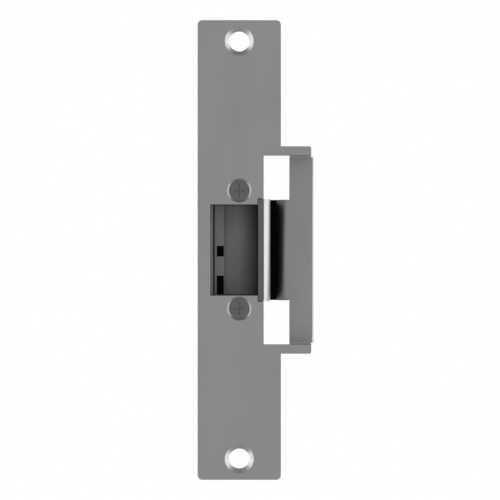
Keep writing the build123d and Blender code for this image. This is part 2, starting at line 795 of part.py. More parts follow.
clip_r = plunger_r + clip_rim
with BuildPart() as plunger_clip:
    with BuildSketch(Plane.XY.offset(clip_z)):
        with Locations(plunger_place):
            Circle(clip_r)
            Circle(plunger_r - clip_groove, mode=Mode.SUBTRACT)
            with Locations((0, -clip_r)):
                Rectangle(2 * (plunger_r - clip_mouth), 2 * clip_r, mode=Mode.SUBTRACT)
    extrude(amount=clip_thick)
save(plunger_clip.part, "plunger_clip")

with BuildPart() as plunger_spring:
    spring_floor = solenoid_top + plunger_wire / 2 + plunger_spring_end_gap
    spring_ceiling = clip_z - plunger_wire / 2 - plunger_spring_end_gap
    spring_mean_r = plunger_r + plunger_spring_gap + plunger_wire / 2
    spring_rise = spring_ceiling - spring_floor
    with BuildLine():
        coil_line = Helix(
            spring_rise / plunger_spring_turns,
            spring_rise,
            spring_mean_r,
            center=(lever_x, plunger_y, spring_floor),
        )
    with BuildSketch(Plane(origin=coil_line @ 0, z_dir=coil_line % 0)):
        Circle(plunger_wire / 2)
    sweep(path=coil_line, is_frenet=True)
save(plunger_spring.part, "plunger_spring")

# ---------------------------------------------------------------- solenoid
solenoid_back = plunger_y + solenoid_width / 2
frame_mid_y, frame_span_y = spread(solenoid_front, solenoid_back)
core_r = plunger_r
neck_r = core_r - core_neck
with BuildPart() as solenoid_frame:
    with BuildSketch(Plane.YZ.offset(lever_x - solenoid_width / 2)):
        with Locations((frame_mid_y, solenoid_mid_z)):
            Rectangle(frame_span_y, solenoid_span_z)
        with Locations((frame_mid_y + solenoid_sheet, solenoid_mid_z)):
            Rectangle(frame_span_y, solenoid_span_z - 2 * solenoid_sheet, mode=Mode.SUBTRACT)
    extrude(amount=solenoid_width)
    outer_corners = solenoid_frame.edges().filter_by(Axis.X).group_by(Axis.Y)[0]
    fillet(outer_corners, solenoid_bend_r)
    with BuildSketch(Plane.XY.offset(solenoid_top - solenoid_sheet - root)):
        with Locations(plunger_place):
            Circle(plunger_r + plunger_bore_gap)
    extrude(amount=solenoid_sheet + 2 * root, mode=Mode.SUBTRACT)
    with BuildSketch(Plane.XY.offset(solenoid_bottom - root)):
        with Locations(plunger_place):
            Circle(neck_r + thread_gap)
    extrude(amount=solenoid_sheet + 2 * root, mode=Mode.SUBTRACT)
    with BuildSketch(at_depth(solenoid_front - root)):
        with Locations(*solenoid_holes):
            Circle(solenoid_screw_r)
    extrude(amount=-solenoid_sheet - 2 * root, mode=Mode.SUBTRACT)
save(solenoid_frame.part, "solenoid_frame")

window_low = solenoid_bottom + solenoid_sheet
window_high = solenoid_top - solenoid_sheet
bobbin_bore = plunger_r + plunger_bore_gap
bobbin_tube_r = bobbin_bore + tube_wall
coil_pin_z = window_high - flange_thick / 2
coil_pin_holes = [(lever_x + side * coil_pin_side, coil_pin_z) for side in (1, -1)]
coil_pin_start = board_y - bobbin_block_gap - coil_pin_depth
with BuildPart() as solenoid_bobbin:
    with BuildSketch(Plane.XY.offset(window_low)):
        with Locations(plunger_place):
            Circle(bobbin_tube_r)
    extrude(amount=window_high - window_low)
    for level in (window_low, window_high - flange_thick):
        with BuildSketch(Plane.XY.offset(level)):
            flange_low = solenoid_front + solenoid_sheet + flange_gap
            flange_mid, flange_span = spread(flange_low, plunger_y + coil_r)
            with Locations((lever_x, flange_mid)):
                Rectangle(2 * coil_r, flange_span)
            fillet(vertices(), flange_corner_r)
        extrude(amount=flange_thick)
    with BuildSketch(Plane.XY.offset(window_high - flange_thick)):
        block_front = plunger_y + coil_r - 2 * root
        block_mid, block_span = spread(block_front, board_y - bobbin_block_gap)
        with Locations((lever_x, block_mid)):
            Rectangle(2 * (coil_r - flange_corner_r), block_span)
    extrude(amount=flange_thick)
    with BuildSketch(Plane.XY.offset(window_low - root)):
        with Locations(plunger_place):
            Circle(bobbin_bore)
    extrude(amount=window_high - window_low + 2 * root, mode=Mode.SUBTRACT)
    with BuildSketch(at_depth(coil_pin_start)):
        with Locations(*coil_pin_holes):
            Circle(coil_pin_r)
    extrude(amount=-coil_pin_depth - root, mode=Mode.SUBTRACT)
save(solenoid_bobbin.part, "solenoid_bobbin")

with BuildPart() as solenoid_coil:
    with BuildSketch(Plane.XY.offset(window_low + flange_thick)):
        with Locations(plunger_place):
            Circle(coil_r - coil_inset)
            Circle(bobbin_tube_r, mode=Mode.SUBTRACT)
    extrude(amount=window_high - window_low - 2 * flange_thick)
save(solenoid_coil.part, "solenoid_coil")

with BuildPart() as solenoid_core:
    with BuildSketch(Plane.XY.offset(window_low)):
        with Locations(plunger_place):
            Circle(core_r)
    extrude(amount=core_top - window_low)
    with BuildSketch(Plane.XY.offset(solenoid_bottom - core_rivet)):
        with Locations(plunger_place):
            Circle(neck_r)
    extrude(amount=solenoid_sheet + core_rivet)
save(solenoid_core.part, "solenoid_core")

with BuildPart() as coil_pins:
    with BuildSketch(at_depth(coil_pin_start)):
        with Locations(*coil_pin_holes):
            Circle(coil_pin_r)
    extrude(amount=-(board_y + board_thick + coil_pin_proud - coil_pin_start))
save(coil_pins.part, "coil_pins")

# ---------------------------------------------------------------- circuit board and terminals
with BuildPart() as circuit_board:
    with BuildSketch(at_depth(board_y)):
        board_mid_x, board_span_x = spread(board_left, board_right)
        board_mid_z, board_span_z = spread(board_bottom, board_top)
        with Locations((board_mid_x, board_mid_z)):
            Rectangle(board_span_x, board_span_z)
        fillet(vertices(), board_corner_r)
        with Locations(*board_holes):
            Circle(board_screw_r + seat_gap, mode=Mode.SUBTRACT)
        with Locations(*coil_pin_holes):
            Circle(coil_pin_r + pin_hole_gap, mode=Mode.SUBTRACT)
    extrude(amount=-board_thick)
save(circuit_board.part, "circuit_board")

board_face = board_y + board_thick
with BuildPart() as board_screws:
    with BuildSketch(at_depth(board_face)):
        with Locations(*board_holes):
            Circle(board_screw_r)
    extrude(amount=board_thick + board_screw_grip)
    with BuildSketch(at_depth(board_face)):
        with Locations(*board_holes):
            Circle(board_post_r)
    extrude(amount=-board_head_height)
    fillet(board_screws.faces().group_by(Axis.Y)[-1].edges(), board_head_round)
    with BuildSketch(at_depth(board_face + board_head_height)):
        with Locations(*board_holes):
            Rectangle(board_recess_long, board_recess_wide)
            Rectangle(board_recess_wide, board_recess_long)
    extrude(amount=board_recess_deep, mode=Mode.SUBTRACT)
save(board_screws.part, "board_screws")

with BuildPart() as rectifier:
    with BuildSketch(at_depth(board_face)):
        with Locations((board_right - part_inset, board_top - rectifier_drop)):
            Rectangle(rectifier_width, rectifier_height)
    extrude(amount=-rectifier_depth)
    chamfer(rectifier.faces().sort_by(Axis.Y)[-1].edges(), rectifier_chamfer)
save(rectifier.part, "rectifier")

with BuildPart() as varistor:
    with BuildSketch(at_depth(board_face)):
        with Locations((board_right - part_inset, board_top - varistor_drop)):
            Circle(varistor_r)
    extrude(amount=-varistor_depth)
    fillet(varistor.edges().filter_by(GeomType.CIRCLE), varistor_round)
save(varistor.part, "varistor")

terminal_pitch = terminal_width / 2
terminal_xs = [terminal_left + (way + 0.5) * terminal_pitch for way in range(2)]
terminal_mid_z = terminal_low + terminal_height / 2
with BuildPart() as terminal_block:
    with BuildSketch(at_depth(board_face)):
        with Locations((terminal_left + terminal_width / 2, terminal_mid_z)):
            Rectangle(terminal_width, terminal_height)
    extrude(amount=-terminal_depth)
    top_edges = terminal_block.faces().sort_by(Axis.Y)[-1].edges()
    chamfer(top_edges.filter_by(Axis.X), terminal_chamfer)
    with BuildSketch(at_depth(board_face + terminal_depth)):
        with Locations(*[(x, terminal_mid_z) for x in terminal_xs]):
            Circle(terminal_screw_r + terminal_well_gap)
    extrude(amount=terminal_well, mode=Mode.SUBTRACT)
    with BuildSketch(Plane.XY.offset(terminal_low)):
        with Locations(*[(x, board_face + wire_port_rise) for x in terminal_xs]):
            Rectangle(wire_port_width, wire_port_depth)
    extrude(amount=wire_port_length, mode=Mode.SUBTRACT)
save(terminal_block.part, "terminal_block")

with BuildPart() as terminal_screws:
    screw_face = board_face + terminal_depth - terminal_screw_sink
    with BuildSketch(at_depth(board_face + terminal_depth - terminal_well)):
        with Locations(*[(x, terminal_mid_z) for x in terminal_xs]):
            Circle(terminal_screw_r)
    extrude(amount=-(terminal_well - terminal_screw_sink))
    with BuildSketch(at_depth(screw_face)):
        with Locations(*[(x, terminal_mid_z) for x in terminal_xs]):
            Rectangle(2 * (terminal_screw_r + root), terminal_slot_wide)
    extrude(amount=terminal_slot_deep, mode=Mode.SUBTRACT)
save(terminal_screws.part, "terminal_screws")
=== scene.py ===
import bpy
import json
import math
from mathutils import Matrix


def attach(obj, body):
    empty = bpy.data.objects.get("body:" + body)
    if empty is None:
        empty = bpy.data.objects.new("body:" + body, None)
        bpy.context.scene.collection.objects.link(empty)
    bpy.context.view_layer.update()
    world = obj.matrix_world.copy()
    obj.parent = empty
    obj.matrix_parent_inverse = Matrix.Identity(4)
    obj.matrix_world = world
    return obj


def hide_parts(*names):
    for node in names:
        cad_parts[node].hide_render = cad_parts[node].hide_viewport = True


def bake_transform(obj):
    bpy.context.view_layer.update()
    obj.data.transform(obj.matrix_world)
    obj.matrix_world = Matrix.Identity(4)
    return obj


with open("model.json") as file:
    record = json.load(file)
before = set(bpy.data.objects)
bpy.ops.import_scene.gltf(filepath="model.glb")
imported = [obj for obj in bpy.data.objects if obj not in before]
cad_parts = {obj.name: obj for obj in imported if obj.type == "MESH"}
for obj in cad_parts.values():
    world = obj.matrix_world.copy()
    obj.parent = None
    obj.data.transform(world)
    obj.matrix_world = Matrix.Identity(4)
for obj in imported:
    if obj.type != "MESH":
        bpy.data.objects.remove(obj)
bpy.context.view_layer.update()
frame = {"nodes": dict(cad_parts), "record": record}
nodes = frame["nodes"]

MM = 0.001
# Screw places on the faceplate, X and Z in mm.
frame_screw_places = [(0, 79.375), (0, -79.375)]
body_screw_places = [(0, 22.625), (0, -22.225)]


# ---------------------------------------------------------------- small helpers
def linear(code):
    """A hex sRGB colour as a linear RGBA colour."""
    channels = [int(code[i:i + 2], 16) / 255 for i in (1, 3, 5)]
    return [c / 12.92 if c <= 0.04045 else ((c + 0.055) / 1.055) ** 2.4 for c in channels] + [1]


def add_node(tree, kind, inputs=None, **settings):
    """Add a node with its settings. Each input takes a value, or another node's output to link."""
    node = tree.nodes.new(kind)
    for name, value in settings.items():
        setattr(node, name, value)
    for name, value in (inputs or {}).items():
        socket = node.inputs[name]
        if isinstance(value, bpy.types.NodeSocket):
            tree.links.new(value, socket)
        else:
            socket.default_value = value
    return node


def new_material(name, color, metallic, roughness, **shader):
    """A material with one Principled shader. Returns the material, its tree and the shader."""
    material = bpy.data.materials.new(name)
    material.use_nodes = True
    tree = material.node_tree
    surface = tree.nodes["Principled BSDF"]
    surface.inputs["Base Color"].default_value = linear(color)
    surface.inputs["Metallic"].default_value = metallic
    surface.inputs["Roughness"].default_value = roughness
    for socket, value in shader.items():
        surface.inputs[socket].default_value = value
    return material, tree, surface


def noise(tree, size_mm, stretch=(1, 1, 1), detail=3, roughness=0.5):
    """Noise in object space with features of size_mm, drawn out by stretch along each axis."""
    place = add_node(tree, "ShaderNodeTexCoord")
    scale = [1 / (size_mm * MM * s) for s in stretch]
    mapping = add_node(tree, "ShaderNodeMapping",
                       {"Vector": place.outputs["Object"], "Scale": scale})
    texture = add_node(tree, "ShaderNodeTexNoise",
                       {"Vector": mapping.outputs["Vector"], "Scale": 1.0, "Detail": detail,
                        "Roughness": roughness})
    return texture.outputs["Fac"]


def between(tree, value, low, high, start=0.3, end=0.7):
    """Map a 0..1 pattern to a range."""
    node = add_node(tree, "ShaderNodeMapRange",
                    {"Value": value, "From Min": start, "From Max": end,
                     "To Min": low, "To Max": high})
    return node.outputs["Result"]


def tint(tree, surface, pattern, dark, light):
    """Vary the base colour between two colours by a pattern."""
    mix = add_node(tree, "ShaderNodeMix", data_type="RGBA")
    tree.links.new(pattern, mix.inputs["Factor"])
    mix.inputs["A"].default_value = linear(dark)
    mix.inputs["B"].default_value = linear(light)
    tree.links.new(mix.outputs["Result"], surface.inputs["Base Color"])


def relief(tree, surface, pattern, depth_mm, strength=1.0):
    """Raise the surface by a pattern, depth_mm from low to high."""
    bump = add_node(tree, "ShaderNodeBump",
                    {"Height": pattern, "Distance": depth_mm * MM, "Strength": strength})
    tree.links.new(bump.outputs["Normal"], surface.inputs["Normal"])


def along(tree, axis):
    """The distance from the shared origin along one axis, in metres, in object space."""
    place = add_node(tree, "ShaderNodeTexCoord")
    split = add_node(tree, "ShaderNodeSeparateXYZ", {"Vector": place.outputs["Object"]})
    return split.outputs[axis]


def recolour(tree, surface, mask, code):
    """Turn the base colour to another one where a 0..1 mask says so."""
    link = surface.inputs["Base Color"].links[0]
    mix = add_node(tree, "ShaderNodeMix", data_type="RGBA")
    tree.links.new(mask, mix.inputs["Factor"])
    tree.links.new(link.from_socket, mix.inputs["A"])
    mix.inputs["B"].default_value = linear(code)
    tree.links.new(mix.outputs["Result"], surface.inputs["Base Color"])


# ---------------------------------------------------------------- materials
def paint_cone_highlights(material, centres, radius_mm, code):
    """Painted highlight: the countersink cones below the face get a brighter base colour in place
    of their reflection.
    """
    tree = material.node_tree
    surface = tree.nodes["Principled BSDF"]
    place = add_node(tree, "ShaderNodeTexCoord")
    split = add_node(tree, "ShaderNodeSeparateXYZ", {"Vector": place.outputs["Object"]})
    flat = add_node(tree, "ShaderNodeCombineXYZ",
                    {"X": split.outputs["X"], "Z": split.outputs["Z"]})
    nearest = 1.0
    for centre in centres:
        reach = add_node(tree, "ShaderNodeVectorMath",
                         {0: flat.outputs[0], 1: (centre[0] * MM, 0, centre[1] * MM)},
                         operation="DISTANCE")
        nearest = add_node(tree, "ShaderNodeMath", {0: reach.outputs["Value"], 1: nearest},
                           operation="MINIMUM").outputs[0]
    inside = add_node(tree, "ShaderNodeMath", {0: nearest, 1: radius_mm * MM},
                      operation="LESS_THAN")
    below = add_node(tree, "ShaderNodeMath", {0: split.outputs["Y"], 1: 0.03 * MM},
                     operation="GREATER_THAN")
    both = add_node(tree, "ShaderNodeMath", {0: inside.outputs[0], 1: below.outputs[0]},
                    operation="MULTIPLY")
    recolour(tree, surface, both.outputs[0], code)


def satin_stainless(name, dark, light, roughness):
    """Rolled 304 stainless, belt-finished along its length: fine lines, soft blurred reflection."""
    material, tree, surface = new_material(name, light, 1.0, roughness)
    # Belt lines are 0.05 mm apart on the real sheet; they are drawn at 0.25 mm so that they show.
    lines = noise(tree, 0.25, (1, 1, 90), detail=2)
    clouds = noise(tree, 14, (1, 1, 2.5), detail=4)
    tint(tree, surface, between(tree, clouds, 0, 1), dark, light)
    tree.links.new(between(tree, lines, roughness - 0.05, roughness + 0.05),
                   surface.inputs["Roughness"])
    relief(tree, surface, lines, 0.004)
    return material


def blasted_casting(name, dark, light, roughness):
    """Investment-cast stainless, bead-blasted: an even grain of shallow dimples."""
    material, tree, surface = new_material(name, light, 1.0, roughness)
    grain = noise(tree, 0.35, detail=3, roughness=0.6)
    stain = noise(tree, 6, detail=3)
    tint(tree, surface, between(tree, stain, 0, 1), dark, light)
    tree.links.new(between(tree, grain, roughness - 0.06, roughness + 0.06),
                   surface.inputs["Roughness"])
    relief(tree, surface, grain, 0.012)
    return material


def keeper_with_painted_light(name):
    """Cast steel keeper: milled grey face, a painted highlight on the nose, and painted shade
    (near-black, not metallic) behind and left of the tooth's flank.
    """
    material = blasted_casting(name, "#7A787B", "#838184", 0.4)
    tree = material.node_tree
    surface = tree.nodes["Principled BSDF"]
    # Painted highlight: the keeper's nose is coloured bright.
    painted_nose_highlight = between(tree, along(tree, "X"), 0, 1, 9.2 * MM, 9.6 * MM)
    recolour(tree, surface, painted_nose_highlight, "#B9B7B9")
    # Painted shade: near-black, not metallic and with low specular behind Y 5 mm and left of the
    # tooth's flank.
    behind = between(tree, along(tree, "Y"), 0, 1, 5.0 * MM, 5.7 * MM)
    flank = between(tree, along(tree, "X"), 1, 0, 7.12 * MM, 7.18 * MM)
    painted_recess_shade = add_node(tree, "ShaderNodeMath", {0: behind, 1: flank}, operation="MAXIMUM")
    recolour(tree, surface, painted_recess_shade.outputs[0], "#030303")
    outside_painted_shade = add_node(tree, "ShaderNodeMath", {0: 1.0, 1: painted_recess_shade.outputs[0]}, operation="SUBTRACT")
    tree.links.new(outside_painted_shade.outputs[0], surface.inputs["Metallic"])
    surface.inputs["Specular IOR Level"].default_value = 0.06
    return material


def die_cast_zinc(name, dark, light, roughness):
    """Pressure die-cast zinc, dull chromate dip: soft flow marks, a slight orange peel, and painted
    shade on the pocket floor.
    """
    material, tree, surface = new_material(name, light, 1.0, roughness)
    flow = noise(tree, 9, (1, 1, 2), detail=4)
    peel = noise(tree, 0.7, detail=2)
    tint(tree, surface, between(tree, flow, 0, 1), dark, light)
    tree.links.new(between(tree, flow, roughness - 0.06, roughness + 0.08),
                   surface.inputs["Roughness"])
    relief(tree, surface, peel, 0.01)
    # Painted shade over the pocket floor, darkest beside the keeper.
    painted_pocket_shade = between(tree, along(tree, "X"), 0, 1, -0.5 * MM, 7 * MM)
    for axis, start, end in (("Y", 13, 13.5), ("Y", 20.5, 20), ("Z", -18, -17.5), ("Z", 18, 17.5)):
        edge = between(tree, along(tree, axis), 0, 1, start * MM, end * MM)
        painted_pocket_shade = add_node(tree, "ShaderNodeMath", {0: painted_pocket_shade, 1: edge},
                         operation="MULTIPLY").outputs[0]
    recolour(tree, surface, painted_pocket_shade, "#545356")
    return material


def plated_steel(name, dark, light, roughness, grain_mm=0.5):
    """Zinc-plated mild steel: bright, faintly cloudy, with a fine rolled grain."""
    material, tree, surface = new_material(name, light, 1.0, roughness)
    clouds = noise(tree, 5, detail=5, roughness=0.6)
    grain = noise(tree, grain_mm, detail=2)
    tint(tree, surface, between(tree, clouds, 0, 1), dark, light)
    tree.links.new(between(tree, clouds, roughness - 0.05, roughness + 0.07),
                   surface.inputs["Roughness"])
    relief(tree, surface, grain, 0.003)
    return material


def moulded_plastic(name, dark, light, roughness, ior=1.5):
    """Injection-moulded plastic: one colour, a fine spark-eroded grain."""
    material, tree, surface = new_material(name, light, 0.0, roughness, IOR=ior)
    grain = noise(tree, 0.25, detail=2)
    clouds = noise(tree, 3, detail=2)
    tint(tree, surface, between(tree, clouds, 0, 1), dark, light)
    tree.links.new(between(tree, grain, roughness - 0.05, roughness + 0.05),
                   surface.inputs["Roughness"])
    relief(tree, surface, grain, 0.006)
    return material


finishes = {
    "stainless_face": satin_stainless("satin_stainless_plate", "#B4B2B5", "#BBB9BC", 0.38),
    "stainless_lip": satin_stainless("satin_stainless_lip", "#B0AEB1", "#B7B5B8", 0.46),
    "keeper_casting": keeper_with_painted_light("cast_steel_with_painted_light"),
    "zinc_housing": die_cast_zinc("die_cast_zinc", "#A3A2A5", "#ADACAF", 0.6),
    "zinc_plated_sheet": plated_steel("zinc_plated_sheet", "#B8BABD", "#C6C8CA", 0.34),
    "screw_steel": plated_steel("phosphated_screw_steel", "#7C7B7D", "#858486", 0.4, 0.2),
    "zinc_plated_screw": plated_steel("zinc_plated_screw", "#B9BBC0", "#CACCD0", 0.28, 0.2),
    "hardened_pin": plated_steel("ground_hardened_steel", "#A9A8AA", "#B5B4B6", 0.22, 0.15),
    "plunger_steel": plated_steel("nickel_plated_iron", "#BDB8AE", "#C9C4B9", 0.2, 0.2),
    "tinned_pins": plated_steel("tinned_wire", "#C8C8C6", "#D4D4D2", 0.3, 0.2),
    "spring_steel": plated_steel("drawn_spring_wire", "#77767A", "#8A898D", 0.3, 0.15),
    "rivet_steel": plated_steel("headed_steel_rivet", "#9F9EA0", "#ADACAE", 0.3, 0.2),
    "lever_steel": plated_steel("stamped_steel", "#A5A4A7", "#B3B2B5", 0.33, 0.3),
    "bronze_bushing": blasted_casting("sintered_bronze", "#9A6B3A", "#B07E48", 0.45),
    "bobbin_nylon": moulded_plastic("glass_filled_nylon", "#DAD6C6", "#E4E0D2", 0.5, 1.53),
    "coil_tape": moulded_plastic("polyester_winding_tape", "#A8842E", "#C39B3C", 0.3, 1.57),
    "board_laminate": moulded_plastic("solder_masked_laminate", "#0F4A28", "#145A31", 0.35),
    "black_epoxy": moulded_plastic("moulded_black_epoxy", "#141414", "#1B1B1B", 0.5),
    # Slot blanks in near-black: painted shade filling the strip's slots.
    "blank_plastic": moulded_plastic("near_black_slot_shade_polyamide", "#050505", "#080808", 0.6, 1.3),
    "blue_epoxy": moulded_plastic("dipped_blue_epoxy", "#123F86", "#184C9C", 0.25),
    "terminal_plastic": moulded_plastic("moulded_polyamide", "#1C6B3C", "#237A46", 0.45),
}

# Painted highlight on the countersink cones of all four screws.
paint_cone_highlights(finishes["stainless_face"], frame_screw_places + body_screw_places, 5.6, "#DEDDDE")

slot_of = {row["node"]: row["material_slot"] for row in frame["record"]["subparts"]}
for node_name, node_object in nodes.items():
    node_object.data.materials.clear()
    node_object.data.materials.append(finishes[slot_of[node_name]])

# ---------------------------------------------------------------- modelling helpers
def start_piece():
    """Deselect everything, so that the next primitive stands alone."""
    if bpy.context.mode != "OBJECT":
        bpy.ops.object.mode_set(mode="OBJECT")
    bpy.ops.object.select_all(action="DESELECT")


def only(thing):
    """Make one object the selected and active one."""
    bpy.ops.object.select_all(action="DESELECT")
    thing.select_set(True)
    bpy.context.view_layer.objects.active = thing


def apply_modifiers(thing):
    """Bake every modifier of an object into its mesh, in order."""
    only(thing)
    for modifier in list(thing.modifiers):
        bpy.ops.object.modifier_apply(modifier=modifier.name)


def turned(name, profile, sides=48):
    """A turned shape about Z: rings of (radius, height) in mm, drawn out one after another."""
    start_piece()
    radius, height = profile[0]
    bpy.ops.mesh.primitive_circle_add(vertices=sides, radius=radius * MM, fill_type="NGON",
                                      location=(0, 0, height * MM))
    thing = bpy.context.object
    thing.name = name
    bpy.ops.object.mode_set(mode="EDIT")
    bpy.ops.mesh.select_all(action="SELECT")
    for new_radius, new_height in profile[1:]:
        step = (0, 0, (new_height - height) * MM)
        bpy.ops.mesh.extrude_region_move(TRANSFORM_OT_translate={"value": step})
        ratio = new_radius / radius
        bpy.ops.transform.resize(value=(ratio, ratio, 1))
        radius, height = new_radius, new_height
    bpy.ops.mesh.select_all(action="SELECT")
    bpy.ops.mesh.normals_make_consistent(inside=False)
    bpy.ops.object.mode_set(mode="OBJECT")
    bpy.ops.object.transform_apply(location=True, rotation=True, scale=True)
    return thing


def box_cutter(name, length, width, depth, top, taper):
    """A bar in mm whose lower end is smaller by the taper, for cutting one arm of a cross."""
    start_piece()
    bpy.ops.mesh.primitive_cube_add(size=1, location=(0, 0, (top - depth / 2) * MM))
    bar = bpy.context.object
    bar.scale = (length * MM, width * MM, depth * MM)
    bpy.ops.object.transform_apply(location=True, rotation=True, scale=True)
    bpy.ops.object.mode_set(mode="EDIT")
    bpy.ops.mesh.select_mode(type="FACE")
    bpy.ops.mesh.select_all(action="DESELECT")
    bpy.ops.object.mode_set(mode="OBJECT")
    for face in bar.data.polygons:
        face.select = face.normal.z < -0.9
    bpy.ops.object.mode_set(mode="EDIT")
    bpy.ops.transform.resize(value=(taper, 0.75, 1))
    bpy.ops.object.mode_set(mode="OBJECT")
    return bar


def cut(thing, cutter):
    """Cut one solid out of another and remove the cutter."""
    knife = thing.modifiers.new("cut", "BOOLEAN")
    knife.operation = "DIFFERENCE"
    knife.solver = "EXACT"
    knife.object = cutter
    apply_modifiers(thing)
    bpy.data.objects.remove(cutter)


def cross_recess(thing, long, wide, deep, top, taper=0.55):
    """A cross recess with tapering arms round a conical pit, all in mm below the top."""
    for turn in (0, 90):
        arm = box_cutter("recess_arm", long, wide, deep + 0.4, top + 0.4, taper)
        arm.rotation_euler = (0, 0, math.radians(turn))
        only(arm)
        bpy.ops.object.transform_apply(rotation=True)
        cut(thing, arm)
    pit = turned("recess_pit", [(wide * 0.8, top + 0.4), (wide * 0.62, top - deep),
                                (wide * 0.12, top - deep - wide * 0.35)], 16)
    cut(thing, pit)


def thread_ridge(name, core, crest, pitch, start, turns):
    """A thread of triangular section, wound round Z in mm, with both of its ends closed."""
    start_piece()
    bpy.ops.mesh.primitive_circle_add(vertices=3, radius=pitch / 2 * MM,
                                      rotation=(math.radians(90), 0, 0))
    ridge = bpy.context.object
    ridge.name = name
    bpy.ops.object.transform_apply(rotation=True)
    corners = [(core, -pitch * 0.42), (crest, 0), (core, pitch * 0.42)]
    for vertex, (radius, rise) in zip(ridge.data.vertices, corners):
        vertex.co = (radius * MM, 0, (start + rise) * MM)
    wind = ridge.modifiers.new("wind", "SCREW")
    wind.angle = math.radians(360)
    wind.screw_offset = pitch * MM
    wind.iterations = turns
    wind.steps = wind.render_steps = 20
    wind.use_merge_vertices = True
    apply_modifiers(ridge)
    bpy.ops.object.mode_set(mode="EDIT")
    bpy.ops.mesh.select_all(action="SELECT")
    bpy.ops.mesh.remove_doubles(threshold=0.001 * MM)
    bpy.ops.mesh.select_all(action="DESELECT")
    bpy.ops.mesh.select_mode(type="VERT")
    bpy.ops.mesh.select_non_manifold(extend=False)
    bpy.ops.mesh.fill_holes(sides=3)
    bpy.ops.mesh.select_all(action="SELECT")
    bpy.ops.mesh.normals_make_consistent(inside=False)
    bpy.ops.object.mode_set(mode="OBJECT")
    return ridge


def soften(thing, width, angle=40):
    """Break the sharp edges of a finished shape, and shade its curves smooth."""
    edge = thing.modifiers.new("edge", "BEVEL")
    edge.width = width * MM
    edge.segments = 2
    edge.limit_method = "ANGLE"
    edge.angle_limit = math.radians(35)
    apply_modifiers(thing)
    bpy.ops.object.shade_smooth_by_angle(angle=math.radians(angle))


def join(name, things):
    """Join finished shapes into one object."""
    bpy.ops.object.select_all(action="DESELECT")
    for thing in things:
        thing.select_set(True)
    bpy.context.view_layer.objects.active = things[0]
    if len(things) > 1:
        bpy.ops.object.join()
    joined = bpy.context.object
    joined.name = name
    joined.data.name = name
    return joined


def set_along_depth(thing, x, y, z, faces_back):
    """Turn a shape made about Z to the depth axis, its top towards the front or the back."""
    thing.rotation_euler = (math.radians(-90 if faces_back else 90), 0, 0)
    thing.location = (x * MM, y * MM, z * MM)
    only(thing)
    bpy.ops.object.transform_apply(location=True, rotation=True, scale=True)


def copies_at(name, model, places, y, faces_back):
    """Copy a model to each (x, z) place at a depth in mm, and join the copies."""
    placed = []
    for x, z in places:
        only(model)
        bpy.ops.object.duplicate(linked=False)
        copy = bpy.context.object
        set_along_depth(copy, x, y, z, faces_back)
        placed.append(copy)
    bpy.data.objects.remove(model)
    return join(name, placed)


def finish_piece(piece, body, slot_name, *replaced):
    """Give a finished piece its material and its body, and hide the nodes it replaces.

    A spring between two bodies has no body."""
    piece.data.materials.clear()
    piece.data.materials.append(finishes[slot_name])
    if body:
        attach(piece, body)
    if replaced:
        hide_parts(*replaced)


# ---------------------------------------------------------------- screws
# M4 flat heads that hold the faceplate to the housing: 8 mm head, shallow cross recess.
shank = turned("body_screw_model", [
    (3.7, 0.0), (3.93, -0.08), (3.95, -0.2), (1.95, -2.5), (1.62, -2.7), (1.62, -10.7),
    (1.2, -11.2)])
cross_recess(shank, 4.9, 0.7, 0.5, 0.0, 0.86)
soften(shank, 0.06)
ridge = thread_ridge("body_screw_thread", 1.58, 1.93, 0.7, -10.4, 10)
body_screw = join("body_screw_model", [shank, ridge])
body_screw_set = copies_at("flat_head_body_screws", body_screw, body_screw_places, 0.7, False)
finish_piece(body_screw_set, "strike_body", "screw_steel", "body_screws")

# M2.5 pan heads of the rear cover.
pan = turned("cover_screw_model", [
    (0.5, 1.58), (1.0, 1.55), (1.6, 1.42), (2.0, 1.12), (2.25, 0.6), (2.3, 0.0), (1.2, 0.0),
    (1.0, -0.2), (1.0, -6.2), (0.7, -6.8)])
cross_recess(pan, 2.5, 0.5, 0.9, 1.58)
soften(pan, 0.04)
ridge = thread_ridge("cover_screw_thread", 0.97, 1.23, 0.45, -6.0, 12)
cover_screw = join("cover_screw_model", [pan, ridge])
cover_places = [(x, z) for x in (-11.1, 5.6) for z in (24.4, -63.0)]
cover_screw_set = copies_at("pan_head_cover_screws", cover_screw, cover_places, 36.5, True)
finish_piece(cover_screw_set, "strike_body", "zinc_plated_screw", "cover_screws")

# M1.8 pan heads of the circuit board.
small_pan = turned("board_screw_model", [
    (0.4, 1.08), (0.9, 1.03), (1.4, 0.85), (1.64, 0.45), (1.68, 0.0), (0.88, 0.0), (0.88, -5.2),
    (0.6, -5.5)], 32)
cross_recess(small_pan, 1.75, 0.36, 0.55, 1.08)
soften(small_pan, 0.03)
board_screw_set = copies_at("pan_head_board_screws", small_pan, [(-10.15, -37.2), (-10.15, -56.8)],
                            29.0, True)
finish_piece(board_screw_set, "strike_body", "zinc_plated_screw", "board_screws")

# ---------------------------------------------------------------- coil
# Enamelled wire 0.4 mm thick, wound in 46 turns to a layer, under a lap of winding tape.
start_piece()
bpy.ops.mesh.primitive_torus_add(major_radius=5.85 * MM, minor_radius=0.21 * MM, major_segments=48,
                                 minor_segments=8, location=(0, 0, 0))
turn = bpy.context.object
turns = turn.modifiers.new("turns", "ARRAY")
turns.use_relative_offset = False
turns.use_constant_offset = True
turns.constant_offset_displace = (0, 0, 0.402 * MM)
turns.count = 46
apply_modifiers(turn)
only(turn)
bpy.ops.object.shade_smooth()
sleeve = turned("coil_sleeve", [(4.42, 0.0), (5.8, 0.0), (5.8, 18.5), (4.42, 18.5)])
bpy.ops.object.mode_set(mode="EDIT")
bpy.ops.mesh.select_mode(type="FACE")
bpy.ops.mesh.select_all(action="DESELECT")
bpy.ops.object.mode_set(mode="OBJECT")
for face in sleeve.data.polygons:
    face.select = len(face.vertices) > 4
bpy.ops.object.mode_set(mode="EDIT")
